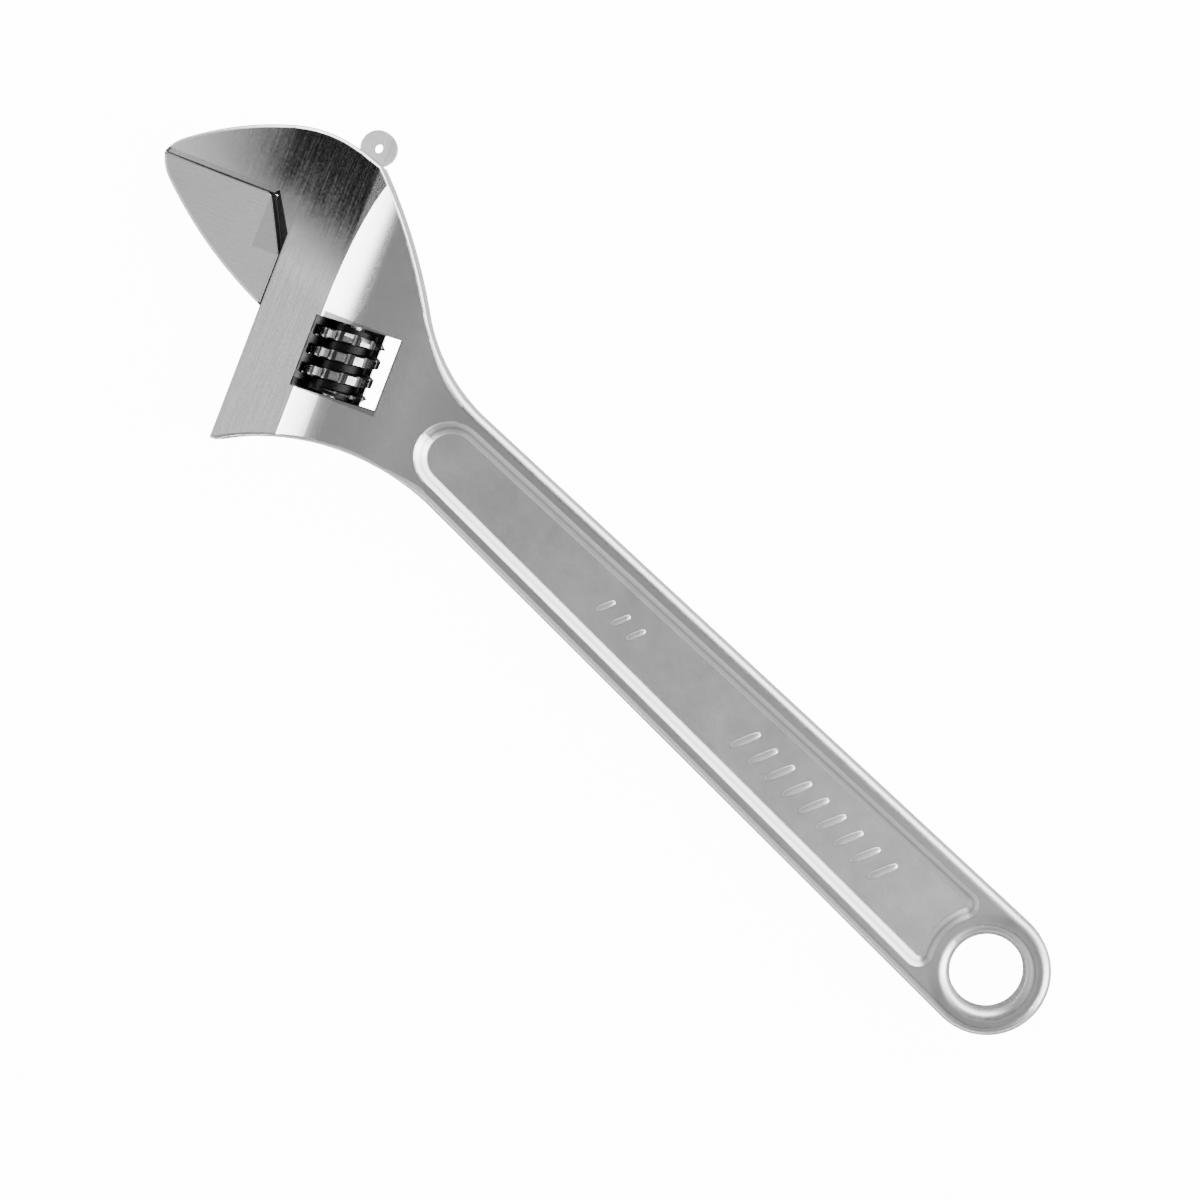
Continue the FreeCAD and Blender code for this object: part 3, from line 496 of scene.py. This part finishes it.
def plated_forging():
    """Colour, roughness, metal and relief from the masks and four sizes of noise."""
    finish = Finish("plated_forging")
    zones = Zones(finish)
    band, panel = zones.band, zones.panel
    peel = speckle(finish, 5.0, 4.0)
    grain = speckle(finish, 0.7)
    cloud = speckle(finish, 16.0, 2.0)
    streak = stretched(finish, zones.q, zones.p, zones.z * 0.4, (0.12, 2.6))
    fine = stretched(finish, zones.q, zones.p, zones.z, (0.35, 7.0))
    # Painted shade on the window's walls and mouth, along the seam and in the throat's relief.
    walls, wall_shade, line = window_shade(zones, peel)
    painted_shade = seam_shade(zones) + line
    steel = finish.blend(plate_shade(zones, peel, cloud), BLACK, PLATE)
    # Painted highlight: the lug is made near white.
    steel = finish.blend(zones.lug, steel, LUG_HIGHLIGHT)
    steel = finish.blend((wall_shade + painted_shade).clamp(), steel, PAINTED_SHADE_BLACK)
    rough = 0.33 + panel * 0.07 - band * 0.12 - zones.polished * 0.07
    rough = rough + (grain - 0.5) * 0.12 + (streak - 0.5) * band * 0.2
    matt_tip = zones.dome_side * zones.p.above(248.0, 28.0)
    finish.set(Base_Color=steel, Metallic=1.0 - matt_tip * 0.3)
    finish.set(Roughness=(rough + (walls + painted_shade) * 0.3).clamp())
    skin = (peel - 0.5) * (0.35 + panel - band * 0.3) + (grain - 0.5) * 0.12
    lines = (fine - 0.5) * band * 0.1 + (streak - 0.5) * band * 0.12
    calm = 1.0 - zones.polished * 0.85
    finish.set(Normal=relief(finish, (skin + lines) * calm, PEEL_DEEP))
    return finish.material


# %% [markdown]
# ## The sliding jaw, the worm, its pin and its spring
#
# The jaw is ground flat on its sides, brushed along the slide, and plated like the
# forging; its rack, the edges along the seam and the wall behind it are painted dark as
# shade.  The worm is turned and knurled: its grooves are painted nearly black as shade
# and its crests lighter, so its colour follows the distance from its own axis, which
# also stays true while it turns.  Pin and spring are plain steel wire and rod.

# %% Plated jaw
JAW_PLATE = (0.74, 0.745, 0.74)
# Near-black colour of the rack and the seam: painted shade.
RACK_SHADE = (0.03, 0.03, 0.03)
RACK_TO = 227.0
BRUSH_DEEP = 0.00006


def jaw_shade(p, q, z, upright):
    """Painted shade on the edges along the seam and on the wall behind the jaw, below its face."""
    edge = between(upright, 0.1, 0.985, 0.05)
    behind = (1.0 - p.above(235.2, 0.3)) * (1.0 - q.above(-101.9, 0.3))
    beside = (1.0 - p.above(228.7, 0.2)) + (1.0 - q.above(-115.3, 0.2)) * p.above(234.0, 0.3)
    wall = behind * (1.0 - z.maths("ABSOLUTE").above(RELIEF_TOP, 0.6))
    return (edge * (behind + beside) + wall).clamp()


def plated_jaw():
    """Brushed plate; its rack, which slides in the channel, is painted dark as shade."""
    finish = Finish("plated_jaw", Metallic=1.0)
    z, p, q = places(finish)[2:]
    rack = 1.0 - p.above(RACK_TO, 0.8)
    painted_shade = jaw_shade(p, q, z, upward(finish))
    cloud = speckle(finish, 14.0, 2.0)
    grain = speckle(finish, 0.6)
    streak = stretched(finish, p, q, z * 0.4, (0.1, 2.2))
    fine = stretched(finish, p, q, z, (0.3, 6.0))
    shade = 0.94 + cloud * 0.1 + (streak - 0.5) * 0.08
    steel = finish.blend(shade.clamp(), BLACK, JAW_PLATE)
    # Painted shade: the rack, the edges along the seam and the wall behind the jaw are darkened.
    darkened = (rack * (0.7 + grain * 0.25) + painted_shade * 0.9).clamp()
    rough = 0.24 + rack * 0.15 + (grain - 0.5) * 0.1 + (streak - 0.5) * 0.16
    finish.set(Base_Color=finish.blend(darkened, steel, RACK_SHADE), Roughness=rough.clamp())
    brushed = (fine - 0.5) * 0.2 + (streak - 0.5) * 0.25
    finish.set(Normal=relief(finish, brushed, BRUSH_DEEP))
    return finish.material


# %% Worm steel
WORM_P = 204.6
WORM_CREST = 8.8
# Colours of the grooves, painted nearly black as shade, and of the lighter crests.
GROOVE_SHADE = (0.012, 0.012, 0.012)
CREST = (0.3, 0.302, 0.3)


def worm_steel():
    """Painted shade, nearly black, in the grooves and lighter crests, by distance from the axis."""
    finish = Finish("worm_steel", Metallic=1.0)
    z, p, q = places(finish)[2:]
    off = p - WORM_P
    radius = (off * off + z * z).maths("SQRT")
    crest = radius.above(WORM_CREST - 0.9, 1.2)
    grain = speckle(finish, 0.5)
    cloud = speckle(finish, 2.5, 3.0)
    turned = stretched(finish, q, radius, cloud, (9.0, 0.5))
    # Painted shade: the grooves are nearly black and the crests lighter.
    crest_light = (crest * (0.65 + cloud * 0.6)).clamp()
    rough = 0.42 - crest * 0.16 + (grain - 0.5) * 0.16
    finish.set(Base_Color=finish.blend(crest_light, GROOVE_SHADE, CREST), Roughness=rough.clamp())
    cut = (turned - 0.5) * 0.5 + (grain - 0.5) * 0.3
    finish.set(Normal=relief(finish, cut, BRUSH_DEEP))
    return finish.material


# %% Rod and wire
def plain_steel(name, colour, streaks):
    """Drawn or turned steel: darker in patches, with fine lines round it."""
    finish = Finish(name, Metallic=1.0)
    z, p, q = places(finish)[2:]
    lines = stretched(finish, q, p, z, streaks)
    cloud = speckle(finish, 1.8, 3.0)
    shade = 0.75 + cloud * 0.4
    finish.set(Base_Color=finish.blend(shade.clamp(), (0.01, 0.01, 0.01), colour))
    finish.set(Roughness=(0.28 + lines * 0.15).clamp())
    finish.set(Normal=relief(finish, lines, 0.00003))
    return finish.material


# %% Give every piece its finish
finishes = {
    "wrench_body": plated_forging(),
    "movable_jaw": plated_jaw(),
    "adjusting_worm": worm_steel(),
    "worm_pin": plain_steel("pin_steel", (0.5, 0.5, 0.5), (7.0, 0.5)),
    "worm_spring": plain_steel("spring_steel", (0.36, 0.36, 0.37), (3.0, 3.0)),
}
for name, material in finishes.items():
    slots = nodes[name].data.materials
    slots.clear()
    slots.append(material)
    print(name, "is", material.name, "with", len(material.node_tree.nodes), "nodes")

# %% [markdown]
# ## Raised bars on the panels
#
# Makers forge raised characters into the sunk panel.  Here plain slanted bars stand in
# their place: a long row near the hanging hole and a short one nearer the head.  They
# could be a bump in the finish, but a raised edge catches light because it has a real
# slope, so every bar is a small closed solid.  Its outline and its section are both
# superellipses, which keeps the flanks steep and the rims soft, as a die leaves them.

# %% One soft bar, computed for all bars at once
BAR_HEIGHT = 0.42
BAR_SUNK = 0.15
BAR_RINGS = 9
BAR_AROUND = 40
SQUARENESS = 0.62


def superellipse(turn):
    """Cosine and sine of an angle, each raised to a power that keeps its sign."""
    both = np.stack((np.cos(turn), np.sin(turn)))
    return np.sign(both) * np.abs(both) ** SQUARENESS


def bar_points(middle, half_length, half_width, slant):
    """Points (bar, ring, around, xyz): a superellipse outline shrinks as the top closes."""
    along, across = superellipse(np.linspace(0.0, 2.0 * np.pi, BAR_AROUND, endpoint=False))
    rise, spread = superellipse(np.linspace(0.0, 0.5 * np.pi, BAR_RINGS + 1)[1:])
    u = half_length[:, None, None] * spread[None, :, None] * along
    v = half_width[:, None, None] * spread[None, :, None] * across
    c, s = np.cos(slant)[:, None, None], np.sin(slant)[:, None, None]
    z = PANEL_FLOOR - BAR_SUNK + (BAR_HEIGHT + BAR_SUNK) * rise[None, :, None]
    z = np.broadcast_to(z, u.shape)
    return np.stack((middle[:, None, None] + u * c - v * s, u * s + v * c, z), axis=-1)


# %% Two rows of bars on both sides
LONG_ROW = {"first": 36.0, "count": 9, "pitch": 5.9, "half_length": 4.1, "half_width": 1.0}
SHORT_ROW = {"first": 121.0, "count": 3, "pitch": 5.2, "half_length": 2.7, "half_width": 0.8}
SLANT = 1.15


def bar_row(first, count, pitch, half_length, half_width):
    """Evenly spaced bars as arrays of middle, half length, half width and slant."""
    middle = first + pitch * np.arange(count)
    return np.stack([middle, *(np.full(count, v) for v in (half_length, half_width, SLANT))])


def bar_solids():
    """Points of every bar with its two poles, then the same bars on the other side."""
    rows = (bar_row(**LONG_ROW), bar_row(**SHORT_ROW))
    front = bar_points(*np.concatenate(rows, axis=1))
    top = front.mean(axis=2)[:, :1].copy()
    top[..., 2] = PANEL_FLOOR + BAR_HEIGHT
    under = top.copy()
    under[..., 2] = PANEL_FLOOR - BAR_SUNK
    solid = np.concatenate((front.reshape(len(front), -1, 3), top, under), axis=1)
    return np.concatenate((solid, solid * (1.0, -1.0, -1.0))) / MM


def bar_faces(count):
    """Quads between rings and triangles round both poles, for this many bars."""
    block = BAR_RINGS * BAR_AROUND
    grid = np.arange(block).reshape(BAR_RINGS, BAR_AROUND)
    after = np.roll(grid, -1, axis=1)
    quads = np.stack((grid[:-1], grid[1:], after[1:], after[:-1]), axis=-1).reshape(-1, 4)
    cap = np.stack((np.full(BAR_AROUND, block), grid[0], after[0]), axis=-1)
    base = np.stack((np.full(BAR_AROUND, block + 1), after[-1], grid[-1]), axis=-1)
    shift = np.arange(count)[:, None, None] * (block + 2)
    fans = (np.concatenate((cap, base)) + shift).reshape(-1, 3)
    return (quads + shift).reshape(-1, 4).tolist() + fans.tolist()


# %% The bars as one piece on the handle
def make_raised_bars():
    """One mesh of closed bars that rides on the forging and shares its finish."""
    solids = bar_solids()
    faces = bar_faces(len(solids))
    mesh = bpy.data.meshes.new("raised_bars")
    mesh.from_pydata(solids.reshape(-1, 3).tolist(), [], faces)
    mesh.shade_smooth()
    mesh.materials.append(finishes["wrench_body"])
    bars = bpy.data.objects.new("raised_bars", mesh)
    bpy.context.scene.collection.objects.link(bars)
    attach(bars, "handle_and_fixed_jaw")
    print("raised bars:", len(solids), "solids,", len(faces), "faces")


make_raised_bars()
